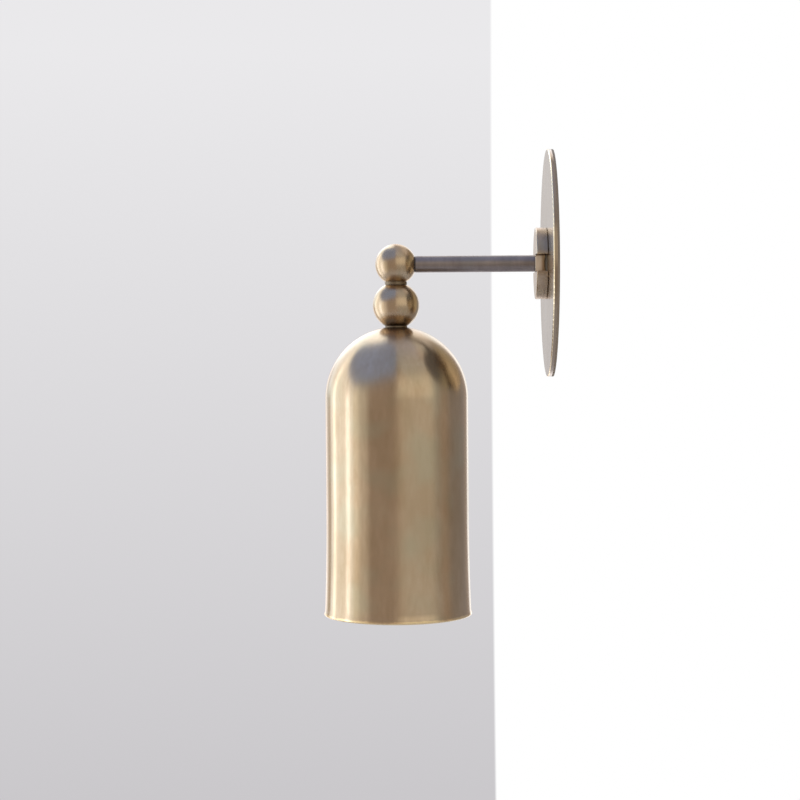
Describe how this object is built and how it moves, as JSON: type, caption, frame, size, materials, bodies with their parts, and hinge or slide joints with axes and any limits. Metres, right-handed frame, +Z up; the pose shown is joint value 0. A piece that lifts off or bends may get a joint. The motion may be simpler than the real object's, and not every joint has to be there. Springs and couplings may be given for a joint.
{
  "type": "wall lamp",
  "caption": "Wall lamp with a thin round plate, a swinging tube arm, two stacked balls and a deep bell shade open below, in aged brass.",
  "frame": {"origin": "centre of the wall screw pattern, on the wall plane behind the round plate", "axes": "+Z up, +Y into the wall, so the arm runs along -Y into the room; +X is the side from which the lamp is pictured"},
  "size_m": [0.13, 0.1474, 0.2665],
  "materials": {
    "foam_gasket": "closed-cell foam rubber, dark grey-brown",
    "zinc_steel": "zinc-plated steel",
    "spring_steel": "oiled spring steel",
    "green_screw": "green-marked earth screw",
    "white_nylon": "natural white nylon",
    "washer_plastic": "cream acetal",
    "bright_brass": "machined brass, unaged",
    "aged_brass_plate": "aged brass, satin with a soft polish",
    "aged_brass": "hand-aged turned brass, satin",
    "aged_brass_shade": "hand-aged spun brass, satin",
    "dark_bronze": "dark bronze patina on brass tube, satin",
    "lead_sleeving": "glass-fibre and silicone sleeving",
    "black_phenolic": "black phenolic",
    "porcelain": "glazed porcelain",
    "bulb_black_glass": "black glass insulator",
    "bulb_nickel": "nickel-plated screw cap",
    "bulb_white_plastic": "white polycarbonate",
    "board_white": "white solder mask with yellow chips",
    "opal_glass": "opal diffuser"
  },
  "bodies": {
    "wall_side": {"wall_gasket": "foam_gasket", "wall_bracket": "zinc_steel", "earth_screw": "green_screw", "earth_washer": "zinc_steel", "terminal_block": "white_nylon", "terminal_sleeves": "bright_brass", "terminal_screws": "zinc_steel", "block_screw": "zinc_steel", "backplate": "aged_brass_plate", "plate_studs": "zinc_steel", "hub": "aged_brass", "hub_lock_washer": "zinc_steel", "hub_nut": "bright_brass", "wire_bush": "white_nylon", "upper_pivot_screw": "aged_brass", "lower_pivot_screw": "aged_brass", "pivot_washers": "washer_plastic", "wall_leads": "lead_sleeving"},
    "arm": {"arm_knuckle": "aged_brass", "arm_tube": "dark_bronze", "arm_spindle": "bright_brass", "spindle_clip": "spring_steel", "roll_washer": "washer_plastic", "arm_leads": "lead_sleeving"},
    "ball": {"upper_ball": "aged_brass", "neck_ring": "aged_brass", "spring_washer": "spring_steel", "ball_leads": "lead_sleeving"},
    "shade_head": {"stem": "bright_brass", "lower_ball": "aged_brass", "seat_ring": "aged_brass", "shade": "aged_brass_shade", "cup_washer": "zinc_steel", "shade_nut": "bright_brass", "holder_cap": "black_phenolic", "holder_core": "porcelain", "core_terminals": "bright_brass", "core_screws": "zinc_steel", "holder_skirt": "black_phenolic", "screw_shell": "bright_brass", "centre_contact": "bright_brass", "shade_leads": "lead_sleeving", "bulb_foot": "bulb_black_glass", "bulb_base": "bulb_nickel", "bulb_collar": "bulb_white_plastic", "led_board": "board_white", "bulb_globe": "opal_glass"}
  },
  "joints": [
    {"name": "arm_swing", "type": "hinge", "parent": "wall_side", "child": "arm", "pos_m": [0, -0.0067, 0], "axis": [0, 0, 1], "range_deg": [-60, 60]},
    {"name": "ball_roll", "type": "hinge", "parent": "arm", "child": "ball", "pos_m": [0, -0.09, 0], "axis": [0, 1, 0], "range_deg": [-90, 90]},
    {"name": "shade_turn", "type": "hinge", "parent": "ball", "child": "shade_head", "pos_m": [0, -0.09, -0.0116], "axis": [0, 0, 1], "range_deg": [-170, 170]}
  ]
}
